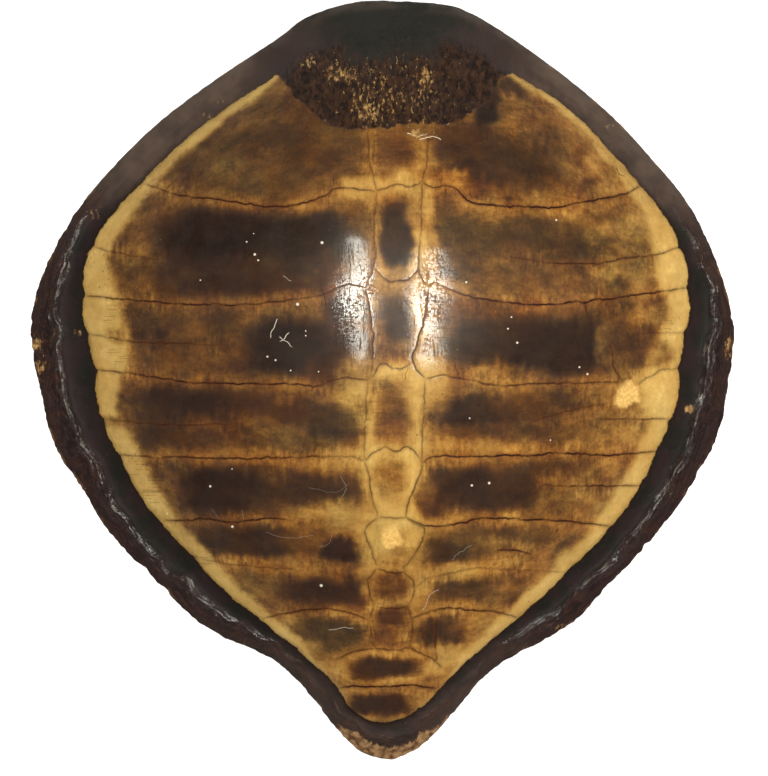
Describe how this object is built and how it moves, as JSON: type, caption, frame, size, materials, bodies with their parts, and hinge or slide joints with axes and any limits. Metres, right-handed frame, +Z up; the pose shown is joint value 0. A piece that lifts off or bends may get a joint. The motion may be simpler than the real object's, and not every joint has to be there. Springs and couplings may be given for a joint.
{
  "type": "sea turtle shell",
  "caption": "Domed bony upper shell of a sea turtle, scutes removed and varnished, hollow beneath, with a raised dark rim around the pale-edged fused plates.",
  "frame": {"origin": "under the middle of the shell's outline, level with the surface it rests on", "axes": "+Z up through the dome, +Y towards the neck end, +X to the right of someone looking down on it with the neck away from them"},
  "size_m": [0.612, 0.66, 0.15],
  "materials": {
    "varnished_bone": "varnished bone, amber to dark brown, gloss"
  },
  "bodies": {
    "root": {"carapace": "varnished_bone"}
  },
  "joints": []
}
